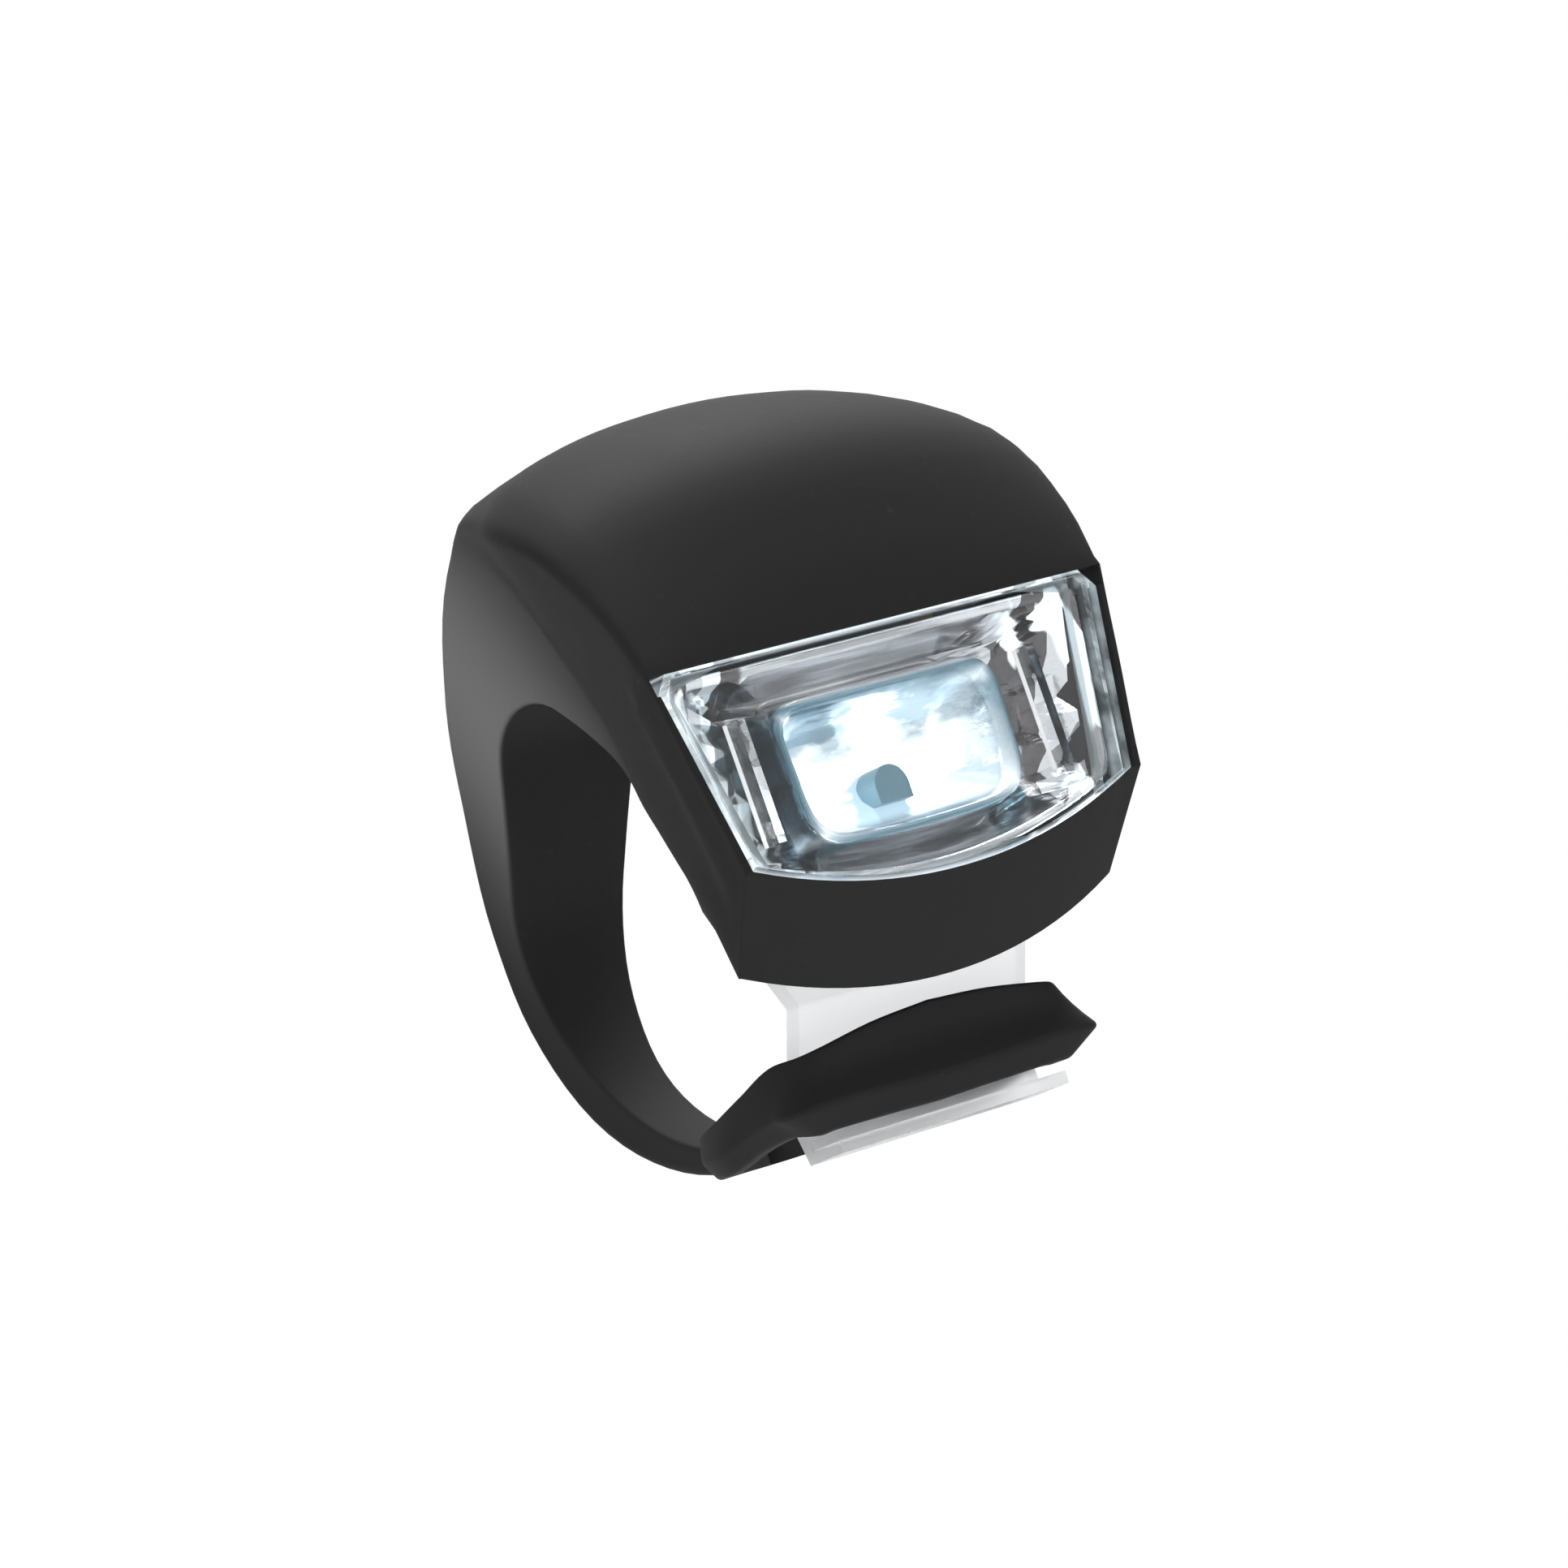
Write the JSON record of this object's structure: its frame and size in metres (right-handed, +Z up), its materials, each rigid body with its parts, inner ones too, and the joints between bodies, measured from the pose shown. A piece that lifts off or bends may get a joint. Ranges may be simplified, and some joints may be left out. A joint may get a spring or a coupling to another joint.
{
  "type": "silicone bike light",
  "caption": "Strap-on front bicycle light: a dark silicone skin with a clear wide lens, and a forked tail strap that stretches round the handlebar onto a hook tongue.",
  "frame": {"origin": "axis of the handlebar, at the middle of the light's width", "axes": "+X along the handlebar, -Y the way the beam points, +Z up from the bar through the head"},
  "size_m": [0.0404, 0.0431, 0.0488],
  "materials": {
    "silicone": "matte",
    "housing_plastic": "satin",
    "frosted_plastic": "frosted",
    "seal_rubber": "matte",
    "clear_lens": "polished",
    "reflector_coating": "polished",
    "diode": "glossy",
    "board_white": "satin",
    "board_green": "satin",
    "link_film": "satin",
    "chip_black": "matte",
    "chip_ceramic": "satin",
    "steel": "brushed",
    "spring_metal": "satin"
  },
  "bodies": {
    "light_head": {"silicone_body": "silicone", "module_housing": "housing_plastic", "battery_cover": "frosted_plastic", "cover_seal": "seal_rubber", "lens_cover": "clear_lens", "lens_gasket": "seal_rubber", "reflector": "reflector_coating", "led_left": "diode", "led_right": "diode", "led_board": "board_white", "main_board": "board_green", "board_link": "link_film", "driver_chip": "chip_black", "chip_resistors": "chip_black", "chip_capacitors": "chip_ceramic", "tact_switch": "steel", "coin_cell_upper": "steel", "coin_cell_lower": "steel", "positive_contact": "spring_metal", "negative_contact": "spring_metal", "cell_tray": "housing_plastic", "cover_screws": "steel", "board_screws": "steel"},
    "tail_strap": {"strap_end": "silicone"},
    "button": {"push_button": "housing_plastic"},
    "plunger": {"switch_plunger": "chip_black"}
  },
  "joints": [
    {"name": "strap_stretch", "type": "slide", "parent": "light_head", "child": "tail_strap", "axis": [0, -1, 0], "range_m": [0, 0.005], "stiffness_N_per_m": 300},
    {"name": "button_press", "type": "slide", "parent": "light_head", "child": "button", "axis": [0, 0.2079, -0.9781], "range_m": [0, 0.00035], "stiffness_N_per_m": 500},
    {"name": "switch_press", "type": "slide", "parent": "light_head", "child": "plunger", "axis": [0, 0.2079, -0.9781], "range_m": [0, 0.00035]}
  ],
  "couplings": [
    {"joint": "switch_press", "follows": "button_press", "ratio": 1}
  ]
}
